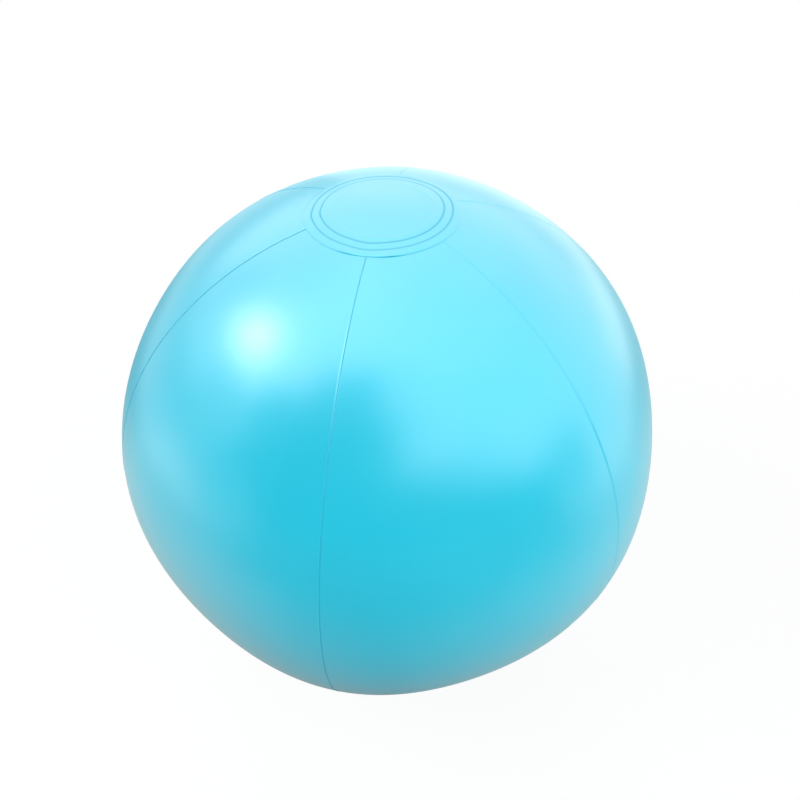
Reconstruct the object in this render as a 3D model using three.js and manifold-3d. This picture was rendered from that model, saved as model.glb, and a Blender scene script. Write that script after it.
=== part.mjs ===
// An inflated beach ball: six lap-welded film panels, two round end caps, and a push-in air valve
// on the rear panel with a tethered stopper and a check flap.
// Millimetres, +Z up through the end caps, -Y the front panel, +Y the valve.
// The origin is the middle of the patch that the floor presses flat.

import * as THREE from 'three';
import { mergeVertices } from 'three/addons/utils/BufferGeometryUtils.js';
import Module from 'manifold-3d';

const wasm = await Module();
wasm.setup();

// Ball
const BALL_DIAMETER = 300; // mean diameter at the equator
const POLE_TO_POLE = 298; // over both end caps, before the floor flattens the lower one
const SEAM_STAND_OUT = 2.6; // at the equator, how much farther out a seam lies than a panel's middle
const FLOOR_PATCH_RADIUS = 20; // the part of the lower end cap that lies flat on the floor
const FILM = 0.3; // thickness of the film
const WELD_GAP = 0.3; // space between two pieces that are welded or hinged face to face

// Panels
const PANEL_NAMES = [
  'panel_front', 'panel_front_right', 'panel_rear_right',
  'panel_rear', 'panel_rear_left', 'panel_front_left',
];
const PANEL_COUNT = PANEL_NAMES.length;
const REAR_PANEL = 3;
const SEAM_LAP = 5; // width of the overlap at a seam
const JOGGLE = 2.5; // width of the ramp where the tucked edge comes up to the surface

// End caps
const CAP_RADIUS = 36;
const CAP_FREE_EDGE = 3.4; // film outside the weld band
const WELD_BAND_WIDTH = 4.1;
const WELD_BAND_DEPTH = 0.15;
const WELD_BAND_RAMP = 0.5;
const PANEL_ENDS_UNDER_CAP = 11.5; // how far the panels reach in under a cap

// Valve, with its axis along +Y
const VALVE_HOLE_RADIUS = 11;
const FLANGE_WELD_WIDTH = 6; // flange outside the hole
const FLANGE_LIP = 1; // flange inside the hole
const FLANGE_THICKNESS = 0.8;
const BOOT_WALL = 0.6;
const BORE_RADIUS = 3.6;
const STEM_WALL = 1.2;
const STEM_LENGTH = 14;
const RIM_STAND_OUT = 0.5; // of the stem's rim above the film, pushed in
const RIM_BEAD = 0.6;
const RIM_HEIGHT = 1.2;
const COLLAR_STEP = 1.2;
const COLLAR_HEIGHT = 1.2;
const LUG_REACH = 1.8; // of the stopper's hinge lug beyond the rim
const LUG_WIDTH = 5;
const LUG_THICKNESS = 1;
const HEAD_OVERHANG = 0.2;
const HEAD_THICKNESS = 1.4;
const HEAD_ROUND = 0.5;
const PLUG_LENGTH = 5;
const PLUG_CLEARANCE = 0.25;
const STRAP_WIDTH = 4;
const STRAP_THICKNESS = 0.8;
const PULL_TAB_REACH = 3;
const FLAP_SEAT = 0.9; // how far the check flap laps over the bore's edge
const FLAP_THICKNESS = 0.5;
const FLAP_TAB_WIDTH = 3;
const FLAP_TAB_REACH = 0.6;
const HINGE_SETBACK = 0.2; // from the end of a hinged piece to its hinge line

// Facets
const PANEL_ROWS = 20; // from cap edge to cap edge
const PANEL_COLUMNS = 8; // between the two seams' laps
const CAP_SEGMENTS = 48;
const VALVE_SEGMENTS = 32;
const PLUG_STEPS = 5;
const MERGE_TOLERANCE = 1e-4;

// Sizes that follow
const EQUATOR_RADIUS = BALL_DIAMETER / 2;
const CAP_LIFT = WELD_GAP + WELD_BAND_DEPTH;
const CAP_FACE = CAP_LIFT + FILM;
const POLE_RADIUS = POLE_TO_POLE / 2 - CAP_FACE;
const SEAM_WAVE = SEAM_STAND_OUT / 2;
const PANEL_END_RADIUS = CAP_RADIUS - PANEL_ENDS_UNDER_CAP;
const WELD_BAND_OUTER = CAP_RADIUS - CAP_FREE_EDGE;
const WELD_BAND_INNER = WELD_BAND_OUTER - WELD_BAND_WIDTH;
const TUCK_DEPTH = FILM + WELD_GAP;
const HALF_PANEL = Math.PI / PANEL_COUNT;
const CAP_EDGE_LATITUDE = Math.acos(CAP_RADIUS / EQUATOR_RADIUS);
const PANEL_END_LATITUDE = Math.acos(PANEL_END_RADIUS / EQUATOR_RADIUS);

// The ball's outer face is a spheroid that bulges towards its seams. A point is given by its azimuth
// from a panel's middle, its latitude, and its height above the panels' outer face.
function spheroidPoint(latitude, height) {
  const normal = new THREE.Vector2(
    Math.cos(latitude) / EQUATOR_RADIUS,
    Math.sin(latitude) / POLE_RADIUS,
  ).normalize();
  return new THREE.Vector2(
    EQUATOR_RADIUS * Math.cos(latitude) + height * normal.x,
    POLE_RADIUS * Math.sin(latitude) + height * normal.y,
  );
}

const FLOOR_LATITUDE = -Math.acos(FLOOR_PATCH_RADIUS / EQUATOR_RADIUS);
const CENTRE_HEIGHT = -spheroidPoint(FLOOR_LATITUDE, CAP_FACE).y;

// The floor holds every film above it, each at its own depth inside the cap's outer face
function aboveFloor(z, height) {
  return Math.max(z + CENTRE_HEIGHT, CAP_FACE - height);
}

function skinPoint(azimuth, azimuthInPanel, latitude, height) {
  const onSpheroid = spheroidPoint(latitude, height);
  const wave = -SEAM_WAVE * Math.cos(PANEL_COUNT * azimuthInPanel) * Math.cos(latitude) ** 3;
  const radius = onSpheroid.x + wave;
  return new THREE.Vector3(
    radius * Math.sin(azimuth),
    -radius * Math.cos(azimuth),
    aboveFloor(onSpheroid.y, height),
  );
}

// Helpers for solids
function lathe(profile, segments) {
  const onAxis = profile[0][0] === 0;
  const closed = onAxis ? profile : [...profile, profile[0]];
  return new THREE.LatheGeometry(closed.map(([radius, y]) => new THREE.Vector2(radius, y)), segments);
}

function box(low, high) {
  const size = high.map((value, axis) => value - low[axis]);
  const middle = high.map((value, axis) => (value + low[axis]) / 2);
  return new THREE.BoxGeometry(...size).translate(...middle);
}

function toSolid(geometry) {
  const bare = geometry.clone();
  bare.deleteAttribute('normal');
  bare.deleteAttribute('uv');
  const merged = mergeVertices(bare, MERGE_TOLERANCE);
  return new wasm.Manifold(new wasm.Mesh({
    numProp: 3,
    vertProperties: new Float32Array(merged.attributes.position.array),
    triVerts: new Uint32Array(merged.index.array),
  }));
}

function toGeometry(solid) {
  const mesh = solid.getMesh();
  const geometry = new THREE.BufferGeometry();
  geometry.setAttribute('position', new THREE.BufferAttribute(mesh.vertProperties, 3));
  geometry.setIndex(new THREE.BufferAttribute(mesh.triVerts, 1));
  geometry.computeVertexNormals();
  return geometry;
}

function join(...geometries) {
  return toGeometry(geometries.map(toSolid).reduce((whole, piece) => whole.add(piece)));
}

// Panels
function panelLatitudes() {
  const latitudes = [-PANEL_END_LATITUDE];
  for (let row = 0; row <= PANEL_ROWS; row += 1) {
    latitudes.push(CAP_EDGE_LATITUDE * (2 * row / PANEL_ROWS - 1));
  }
  latitudes.push(PANEL_END_LATITUDE);
  return latitudes;
}

// Across a panel: the tucked strip under its neighbour, the ramp up, the open panel, the lap on top
function panelStations(latitude) {
  const radius = EQUATOR_RADIUS * Math.cos(latitude);
  const rampFoot = -HALF_PANEL + WELD_GAP / radius;
  const rampTop = rampFoot + JOGGLE / radius;
  const lapStart = HALF_PANEL - SEAM_LAP / radius;
  const stations = [
    { azimuth: -HALF_PANEL - SEAM_LAP / radius, height: -TUCK_DEPTH },
    { azimuth: rampFoot, height: -TUCK_DEPTH },
  ];
  for (let column = 0; column <= PANEL_COLUMNS; column += 1) {
    stations.push({ azimuth: THREE.MathUtils.lerp(rampTop, lapStart, column / PANEL_COLUMNS), height: 0 });
  }
  stations.push({ azimuth: HALF_PANEL, height: 0 });
  return stations;
}

function panelGeometry(panelAzimuth) {
  const rows = panelLatitudes().map((latitude) => panelStations(latitude).map((station) => ({
    ...station,
    latitude,
  })));
  const across = rows[0].length;
  const faceSize = rows.length * across;
  const positions = [];
  for (const depth of [0, FILM]) {
    for (const { azimuth, latitude, height } of rows.flat()) {
      const point = skinPoint(panelAzimuth + azimuth, azimuth, latitude, height - depth);
      positions.push(point.x, point.y, point.z);
    }
  }
  const index = [];
  const quad = (a, b, c, d) => index.push(a, b, c, a, c, d);
  for (let row = 0; row + 1 < rows.length; row += 1) {
    for (let column = 0; column + 1 < across; column += 1) {
      const a = row * across + column;
      const b = a + 1;
      const c = b + across;
      const d = a + across;
      quad(a, b, c, d);
      quad(faceSize + d, faceSize + c, faceSize + b, faceSize + a);
    }
  }
  const edges = [];
  for (let column = 0; column + 1 < across; column += 1) {
    const far = faceSize - across + column;
    edges.push([column, column + 1], [far + 1, far]);
  }
  for (let start = 0; start + across < faceSize; start += across) {
    const end = start + across - 1;
    edges.push([end, end + across], [start + across, start]);
  }
  for (const [from, to] of edges) {
    quad(faceSize + from, faceSize + to, to, from);
  }
  const geometry = new THREE.BufferGeometry();
  geometry.setAttribute('position', new THREE.Float32BufferAttribute(positions, 3));
  geometry.setIndex(index);
  geometry.computeVertexNormals();
  return geometry;
}

// End caps: a film disc over the panels' ends, sunk along its weld band
function capGeometry(pole) {
  const rings = [
    [FLOOR_PATCH_RADIUS, 0],
    [WELD_BAND_INNER - WELD_BAND_RAMP, 0],
    [WELD_BAND_INNER, -WELD_BAND_DEPTH],
    [WELD_BAND_OUTER, -WELD_BAND_DEPTH],
    [WELD_BAND_OUTER + WELD_BAND_RAMP, 0],
    [CAP_RADIUS, 0],
  ];
  const face = (height) => rings.map(([radius, sink]) => {
    const latitude = pole * Math.acos(radius / EQUATOR_RADIUS);
    const point = spheroidPoint(latitude, height + sink);
    return [point.x, aboveFloor(point.y, height)];
  });
  const middle = (height) => [0, aboveFloor(pole * (POLE_RADIUS + height), height)];
  const outside = [middle(CAP_FACE), ...face(CAP_FACE)];
  const inside = [middle(CAP_LIFT), ...face(CAP_LIFT)];
  const profile = pole > 0
    ? [...inside, ...outside.reverse()]
    : [...outside, ...inside.reverse()];
  return lathe(profile, CAP_SEGMENTS).rotateX(Math.PI / 2);
}

// Valve. Its own zero is on the film's outer face, in the middle of the rear panel at the equator.
const VALVE_SEAT_RADIUS = EQUATOR_RADIUS - SEAM_WAVE;
const STEM_RADIUS = BORE_RADIUS + STEM_WALL;
const RIM_RADIUS = STEM_RADIUS + RIM_BEAD;
const STEM_END = RIM_STAND_OUT - STEM_LENGTH;
const COLLAR_RADIUS = STEM_RADIUS + COLLAR_STEP;
const LUG_END = RIM_RADIUS + LUG_REACH;
const STOPPER_HINGE = LUG_END + HINGE_SETBACK;
const STOPPER_UNDERSIDE = RIM_STAND_OUT + WELD_GAP;
const STOPPER_HINGE_HEIGHT = RIM_STAND_OUT + WELD_GAP / 2;
const HEAD_RADIUS = RIM_RADIUS + HEAD_OVERHANG;
const FLAP_RADIUS = BORE_RADIUS + FLAP_SEAT;
const FLANGE_INNER_RADIUS = VALVE_HOLE_RADIUS - FLANGE_LIP;
const FLANGE_OUTER_RADIUS = VALVE_HOLE_RADIUS + FLANGE_WELD_WIDTH;

// Flat facets of the film lie inside its true curve, by this much at most near the valve
const ROW_ANGLE = 2 * CAP_EDGE_LATITUDE / PANEL_ROWS;
const COLUMN_ANGLE = 2 * HALF_PANEL / PANEL_COLUMNS;
const FACET_SAG = EQUATOR_RADIUS * (2 - Math.cos(ROW_ANGLE / 2) - Math.cos(COLUMN_ANGLE / 2));

// How far the film has curved inwards at a distance from the valve's axis
function filmDrop(radius) {
  return VALVE_SEAT_RADIUS - Math.sqrt(VALVE_SEAT_RADIUS ** 2 - radius ** 2);
}

function flangeFace(radius) {
  return -filmDrop(radius) - FILM - FACET_SAG - WELD_GAP;
}

function flangeGeometry() {
  const middle = (FLANGE_INNER_RADIUS + FLANGE_OUTER_RADIUS) / 2;
  const radii = [FLANGE_INNER_RADIUS, middle, FLANGE_OUTER_RADIUS];
  const inside = radii.map((radius) => [radius, flangeFace(radius) - FLANGE_THICKNESS]);
  const outside = radii.map((radius) => [radius, flangeFace(radius)]);
  return lathe([...inside, ...outside.reverse()], VALVE_SEGMENTS);
}

// The thin funnel between flange and stem, which turns inside out when the stem is pulled out
function bootGeometry() {
  const mouthRadius = FLANGE_INNER_RADIUS - WELD_GAP;
  const mouthHeight = flangeFace(FLANGE_INNER_RADIUS);
  const tailRadius = COLLAR_RADIUS + WELD_GAP;
  const tailHeight = STEM_END + COLLAR_HEIGHT / 2;
  return lathe([
    [tailRadius, tailHeight],
    [tailRadius + BOOT_WALL, tailHeight],
    [mouthRadius, mouthHeight],
    [mouthRadius - BOOT_WALL, mouthHeight],
  ], VALVE_SEGMENTS);
}

function stemGeometry() {
  const tube = lathe([
    [BORE_RADIUS, STEM_END],
    [COLLAR_RADIUS, STEM_END],
    [COLLAR_RADIUS, STEM_END + COLLAR_HEIGHT],
    [STEM_RADIUS, STEM_END + COLLAR_HEIGHT],
    [STEM_RADIUS, RIM_STAND_OUT - RIM_HEIGHT - RIM_BEAD],
    [RIM_RADIUS, RIM_STAND_OUT - RIM_HEIGHT],
    [RIM_RADIUS, RIM_STAND_OUT],
    [BORE_RADIUS, RIM_STAND_OUT],
  ], VALVE_SEGMENTS);
  const lug = box(
    [-LUG_WIDTH / 2, RIM_STAND_OUT - LUG_THICKNESS, STEM_RADIUS],
    [LUG_WIDTH / 2, RIM_STAND_OUT, LUG_END],
  );
  return join(tube, lug);
}

// The plug is rounded back so that it clears the far side of the bore as it swings out
function plugRadius(depthBelowHinge) {
  const reach = STOPPER_HINGE + BORE_RADIUS - PLUG_CLEARANCE;
  return Math.sqrt(reach ** 2 - depthBelowHinge ** 2) - STOPPER_HINGE;
}

function stopperGeometry() {
  const headTop = STOPPER_UNDERSIDE + HEAD_THICKNESS;
  const profile = [[0, STOPPER_UNDERSIDE - PLUG_LENGTH]];
  for (let step = PLUG_STEPS; step >= 0; step -= 1) {
    const y = STOPPER_UNDERSIDE - PLUG_LENGTH * step / PLUG_STEPS;
    profile.push([plugRadius(STOPPER_HINGE_HEIGHT - y), y]);
  }
  profile.push(
    [HEAD_RADIUS, STOPPER_UNDERSIDE],
    [HEAD_RADIUS, headTop - HEAD_ROUND],
    [HEAD_RADIUS - HEAD_ROUND, headTop],
    [0, headTop],
  );
  const strap = box(
    [-STRAP_WIDTH / 2, STOPPER_UNDERSIDE, BORE_RADIUS],
    [STRAP_WIDTH / 2, STOPPER_UNDERSIDE + STRAP_THICKNESS, LUG_END],
  );
  const pullTab = box(
    [-STRAP_WIDTH / 2, STOPPER_UNDERSIDE, -HEAD_RADIUS - PULL_TAB_REACH],
    [STRAP_WIDTH / 2, STOPPER_UNDERSIDE + STRAP_THICKNESS, -BORE_RADIUS],
  );
  return join(lathe(profile, VALVE_SEGMENTS), strap, pullTab);
}

function flapGeometry() {
  const top = STEM_END - WELD_GAP;
  const disc = lathe([
    [0, top - FLAP_THICKNESS],
    [FLAP_RADIUS, top - FLAP_THICKNESS],
    [FLAP_RADIUS, top],
    [0, top],
  ], VALVE_SEGMENTS);
  const tab = box(
    [-FLAP_TAB_WIDTH / 2, top - FLAP_THICKNESS, BORE_RADIUS],
    [FLAP_TAB_WIDTH / 2, top, FLAP_RADIUS + FLAP_TAB_REACH],
  );
  return join(disc, tab);
}

// Finishes: satin turquoise film, and the milky soft mouldings of the valve
const FILM_COLOR = 0x35cde9;
const FILM_ROUGHNESS = 0.4;
const VALVE_COLOR = 0xe9f0ee;
const VALVE_ROUGHNESS = 0.35;

function material(color, roughness) {
  return new THREE.MeshStandardMaterial({ color, roughness, metalness: 0 });
}

const filmFinish = () => material(FILM_COLOR, FILM_ROUGHNESS);
const valveFinish = () => material(VALVE_COLOR, VALVE_ROUGHNESS);

// Assembly
const beachBall = new THREE.Group();
beachBall.name = 'beach_ball';

function addPiece(parent, name, geometry, finish) {
  const piece = new THREE.Mesh(geometry, finish);
  piece.name = name;
  parent.add(piece);
}

function cutValveHole(panel) {
  const drill = new THREE.CylinderGeometry(VALVE_HOLE_RADIUS, VALVE_HOLE_RADIUS, VALVE_HOLE_RADIUS,
    VALVE_SEGMENTS).translate(0, VALVE_SEAT_RADIUS, CENTRE_HEIGHT);
  return toGeometry(toSolid(panel).subtract(toSolid(drill)));
}

PANEL_NAMES.forEach((name, number) => {
  const panel = panelGeometry(2 * HALF_PANEL * number);
  const finished = number === REAR_PANEL ? cutValveHole(panel) : panel;
  addPiece(beachBall, name, finished, filmFinish());
});
addPiece(beachBall, 'top_end_cap', capGeometry(1), filmFinish());
addPiece(beachBall, 'bottom_end_cap', capGeometry(-1), filmFinish());

const valve = new THREE.Group();
valve.position.set(0, VALVE_SEAT_RADIUS, CENTRE_HEIGHT);
beachBall.add(valve);
addPiece(valve, 'valve_flange', flangeGeometry(), valveFinish());
addPiece(valve, 'valve_boot', bootGeometry(), valveFinish());
addPiece(valve, 'valve_stem', stemGeometry(), valveFinish());
addPiece(valve, 'stopper', stopperGeometry(), valveFinish());
addPiece(valve, 'check_flap', flapGeometry(), valveFinish());

export default beachBall;
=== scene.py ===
"""Looks of an inflated beach ball: six lap-welded film panels, two end caps and a push-in valve.

Metres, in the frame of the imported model: +Z up through the end caps, +Y towards the valve,
origin in the middle of the patch that the ball rests on.
"""

import math

import bpy
import numpy as np
from mathutils import Matrix, Vector


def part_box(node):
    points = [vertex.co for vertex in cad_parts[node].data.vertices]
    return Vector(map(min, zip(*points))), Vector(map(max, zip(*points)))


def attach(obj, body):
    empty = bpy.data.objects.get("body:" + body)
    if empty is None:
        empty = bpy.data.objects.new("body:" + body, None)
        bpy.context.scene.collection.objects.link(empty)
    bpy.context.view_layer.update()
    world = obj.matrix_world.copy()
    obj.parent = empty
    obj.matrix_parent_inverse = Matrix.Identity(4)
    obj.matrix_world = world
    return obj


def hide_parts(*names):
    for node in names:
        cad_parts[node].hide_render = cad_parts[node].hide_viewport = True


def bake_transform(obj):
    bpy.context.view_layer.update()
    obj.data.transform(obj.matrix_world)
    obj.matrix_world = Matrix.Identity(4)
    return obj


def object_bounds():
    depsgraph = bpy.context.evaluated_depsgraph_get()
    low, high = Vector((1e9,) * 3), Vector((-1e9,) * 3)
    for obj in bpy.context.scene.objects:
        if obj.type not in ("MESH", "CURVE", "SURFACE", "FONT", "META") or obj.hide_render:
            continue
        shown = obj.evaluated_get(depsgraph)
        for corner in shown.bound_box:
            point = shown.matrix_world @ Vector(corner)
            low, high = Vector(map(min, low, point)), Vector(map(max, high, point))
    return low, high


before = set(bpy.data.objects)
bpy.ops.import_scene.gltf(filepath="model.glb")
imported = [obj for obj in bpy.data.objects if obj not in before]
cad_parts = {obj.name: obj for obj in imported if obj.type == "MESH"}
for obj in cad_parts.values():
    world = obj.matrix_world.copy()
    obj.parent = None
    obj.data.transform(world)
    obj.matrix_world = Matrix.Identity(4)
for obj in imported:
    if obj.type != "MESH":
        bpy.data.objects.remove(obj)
cad_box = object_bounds()

MM = 0.001

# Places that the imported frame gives
FLANGE_LOW, FLANGE_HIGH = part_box("valve_flange")
STEM_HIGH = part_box("valve_stem")[1]
CAP_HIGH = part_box("top_end_cap")[1]

# The ball's form
PANELS = (
    "panel_front", "panel_front_right", "panel_rear_right",
    "panel_rear", "panel_rear_left", "panel_front_left",
)
VALVE_PANEL = "panel_rear"
HALF_PANEL = math.pi / len(PANELS)
SEAM_RADIUS = cad_box[1].x
MID_PANEL_RADIUS = -cad_box[0].y
EQUATOR = (SEAM_RADIUS + MID_PANEL_RADIUS) / 2
SEAM_WAVE = (SEAM_RADIUS - MID_PANEL_RADIUS) / 2
CENTRE_Z = (FLANGE_LOW.z + FLANGE_HIGH.z) / 2
SOLID_CAP_FACE = 0.75 * MM  # how far the solid cap's face lies outside the panels
POLE = CAP_HIGH.z - CENTRE_Z - SOLID_CAP_FACE

# Film and seams
FILM = 0.30 * MM
LAY = 0.03 * MM  # air between two films that lie on each other
SEAM_FOOT = 0.05 * MM  # open gap at the foot of the film's edge
SEAM_RAMP = 0.40 * MM  # width over which the tucked film comes up to the surface
SEAM_BEAD = 0.12 * MM  # how far the film's edge stands up where the weld has pressed it
SEAM_BEAD_ENDS = (0.22 * MM, 0.85 * MM)  # from the edge, where the bead starts to fall and where it is gone
SEAM_PRESS = 0.22 * MM  # how much the weld has thinned the film's edge
SEAM_PRESS_ENDS = (0.2 * MM, 2.2 * MM)  # the same for the thinning
SEAM_WELD_AND_SHADE = 0.5  # weld share along a seam: the pressed film's own deeper colour and painted shade at the seam's foot and edge
SEAM_WELD_AND_SHADE_WIDTHS = (0.3 * MM, 0.14 * MM)  # of the weld line and its painted shade on the tucked and on the lapped film
EDGE_ROUND = 0.12 * MM

# End caps
CAP_RADIUS = 36.8 * MM
PANEL_END_RADIUS = 24.5 * MM
WELD_RINGS = (28.4 * MM, 32.5 * MM)  # the two borders of the weld band
WELD_SINK = 0.10 * MM
WELD_RAMP = 0.5 * MM  # width over which the band sinks
WELD_GROOVE = 0.07 * MM
WELD_GROOVE_WIDTH = 0.84 * MM
RING_WELD_AND_SHADE = 0.9  # weld share along the rings: the weld's own deeper colour and painted shade in their grooves
CAP_SAG = 0.16 * MM  # of the cap inside the ring of panel ends
# Radii from the pole up to which the cap sags fully and from which it lies on the panel ends
CAP_SAG_ENDS = (PANEL_END_RADIUS - 1.7 * MM, PANEL_END_RADIUS - 0.7 * MM)
CAP_THIN = 0.15 * MM  # how much the cut edge of the cap is thinner
CAP_THIN_WIDTH = 1.4 * MM  # and over what width
CAP_EDGE_DROOP = 0.5  # share of the edge's rounding that the cap's face has
TOP_CAP_SHIFT = (0.0, 1.4 * MM)  # the disc is laid on by hand, a little off the pole
# Azimuth and width in degrees and height in metres of the places where the weld ring runs wide,
# and of those where the cap's free edge stands off the panels
WIDE_SPOTS = ((-30, 12, 0.55 * MM), (-103, 8, 0.40 * MM), (100, 28, 0.80 * MM))
LOOSE_SPOTS = ((-43, 6, 0.30 * MM), (-13, 8, 0.32 * MM), (-100, 5, 0.12 * MM), (140, 12, 0.25 * MM))
WIDE_FROM = (24.0 * MM, 27.0 * MM)  # radii over which the rings come to run as wide as the weld
WIDE_TO = (33.6 * MM, 35.4 * MM)  # and over which they stop
LOOSE_FROM = 0.4 * MM  # outside the weld, where the free edge starts to lift

# Valve
FLANGE_WELD_RADIUS = 17.0 * MM  # outer border of the flange's weld
HOLE_WELD_RADIUS = 12.4 * MM  # its inner border
FLANGE_WELD_RAMP = 0.6 * MM  # width over which the film sinks there
FLANGE_GROOVE = 0.12 * MM
HOLE_GROOVE_WIDTH = 0.6 * MM
FLANGE_WELD_AND_SHADE = 0.5  # weld share along both borders: the weld's own deeper colour and painted shade in their grooves
RIM_STAND_OUT = 0.5 * MM  # of the stem's rim above the film
SEAT_Y = STEM_HIGH.y - RIM_STAND_OUT  # the film's surface at the valve
PLATE_RADIUS = 5.6 * MM  # of the stopper's head
PLATE_FACE = 1.5 * MM  # above the seat; higher points lie on its outer face
RIDGES = 3  # on the pull tab
RIDGE_START = 5.9 * MM  # below the valve's axis
RIDGE_PITCH = 0.8 * MM
RIDGE_HEIGHT = 0.16 * MM
FLAP_RADIUS = 4.5 * MM


# Mesh helpers

def smooth_step(x, start, end):
    """0 before start, 1 after end, 3t^2 - 2t^3 between."""
    t = np.clip((x - start) / (end - start), 0, 1)
    return t * t * (3 - 2 * t)


def bell(x, width):
    """1 at 0, falling off on both sides as exp(-(x / width)^2)."""
    return np.exp(-(x / width) ** 2)


def spots(azimuth, places):
    """Sum of bells round a ring, each with its azimuth and width in degrees and its height."""
    turn = [np.degrees(azimuth) - place[0] for place in places]
    return sum(place[2] * bell((t + 180) % 360 - 180, place[1]) for t, place in zip(turn, places))


def quads(index, closed=False):
    """Faces of a grid of vertex numbers, row by row; closed joins the last column to the first."""
    if closed:
        index = np.concatenate([index, index[:, :1]], axis=1)
    corners = (index[:-1, :-1], index[:-1, 1:], index[1:, 1:], index[1:, :-1])
    return np.stack(corners, axis=-1).reshape(-1, 4)


def fan(pole, ring):
    """Four-sided faces from a pole to an even ring, which runs anticlockwise as seen from outside."""
    first = ring[0::2]
    second = ring[1::2]
    return np.stack([np.full(len(first), pole), first, second, np.roll(first, -1)], axis=-1)


def numbered(shape, start=0):
    """A grid of vertex numbers of that shape, row by row from start."""
    return start + np.arange(math.prod(shape)).reshape(shape)


def border_loop(index):
    """The vertex numbers round a grid's border, along its first row first."""
    return np.concatenate([index[0, :-1], index[:-1, -1], index[-1, :0:-1], index[:0:-1, 0]])


def new_piece(name, points, faces, material, sharp_deg=50, weld=None):
    """A mesh object at the origin with smooth faces, sharp only where they meet at more than sharp_deg.

    Points that no face uses are left out. weld is each point's share of weld line, 0 to 1, which darkens
    the colour: the weld's own deeper colour and painted shade in its grooves.
    """
    used, faces = np.unique(faces, return_inverse=True)
    mesh = bpy.data.meshes.new(name)
    mesh.from_pydata(np.asarray(points, float)[used].tolist(), [], faces.reshape(-1, 4).tolist())
    mesh.shade_smooth()
    mesh.set_sharp_from_angle(angle=math.radians(sharp_deg))
    if weld is not None:
        shares = mesh.attributes.new("weld", "FLOAT", "POINT")
        shares.data.foreach_set("value", weld[used].astype(np.float32))
    mesh.materials.append(material)
    piece = bpy.data.objects.new(name, mesh)
    bpy.context.scene.collection.objects.link(piece)
    return piece


def film_piece(name, outside, inside, faces, rims, weld):
    """A closed film: the outer face, the same face turned over on the inner points, and its rims.

    rims are loops of vertex numbers, each in the order in which the outer face runs along it.
    """
    count = len(outside)
    sides = [
        np.stack([count + rim, count + np.roll(rim, -1), np.roll(rim, -1), rim], axis=-1)
        for rim in rims
    ]
    faces = np.concatenate([faces, faces[:, ::-1] + count, *sides])
    points = np.concatenate([outside, inside])
    return new_piece(name, points, faces, FILM_PVC, weld=np.concatenate([weld, weld]))


def wear(piece, body, node):
    """The piece moves with its body and stands for its solid, which it hides."""
    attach(piece, body)
    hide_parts(node)


# The ball's surface

def skin(azimuth, latitude, height):
    """Points on the ball: a spheroid whose radius swells towards the seams.

    radius = EQUATOR cos(latitude) - SEAM_WAVE cos(6 azimuth) cos(latitude)^3, z = POLE sin(latitude),
    moved out along the spheroid's normal by height, and never below the floor. Azimuth runs from -Y
    towards +X, and 0 is the middle of the front panel.
    """
    azimuth, latitude, height = np.broadcast_arrays(azimuth, latitude, height)
    across = np.cos(latitude) / EQUATOR
    along = np.sin(latitude) / POLE
    length = np.hypot(across, along)
    wave = SEAM_WAVE * np.cos(len(PANELS) * azimuth) * np.cos(latitude) ** 3
    radius = EQUATOR * np.cos(latitude) - wave + height * across / length
    z = CENTRE_Z + POLE * np.sin(latitude) + height * along / length
    z = np.maximum(z, FILM + LAY - height)
    return np.stack([radius * np.sin(azimuth), -radius * np.cos(azimuth), z], axis=-1)


# Materials

def linear(hex_code):
    """An sRGB hex colour as linear RGBA."""
    srgb = np.array([int(hex_code[n:n + 2], 16) for n in (1, 3, 5)]) / 255
    rgb = np.where(srgb <= 0.04045, srgb / 12.92, ((srgb + 0.055) / 1.055) ** 2.4)
    return (*rgb.tolist(), 1.0)


def add_node(tree, kind, settings=None, **links):
    """Adds a node, sets its properties or unlinked sockets, and links the named sockets."""
    node = tree.nodes.new(kind)
    for name, value in (settings or {}).items():
        if hasattr(node, name):
            setattr(node, name, value)
        else:
            node.inputs[int(name) if name.isdigit() else name].default_value = value
    for name, source in links.items():
        plug = name.replace("_", " ").strip()
        socket = node.inputs[int(plug)] if plug.isdigit() else node.inputs[plug]
        tree.links.new(source, socket)
    return node


def new_material(name):
    """A material with an empty node tree."""
    material = bpy.data.materials.new(name)
    material.use_nodes = True
    material.node_tree.nodes.clear()
    return material, material.node_tree


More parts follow.
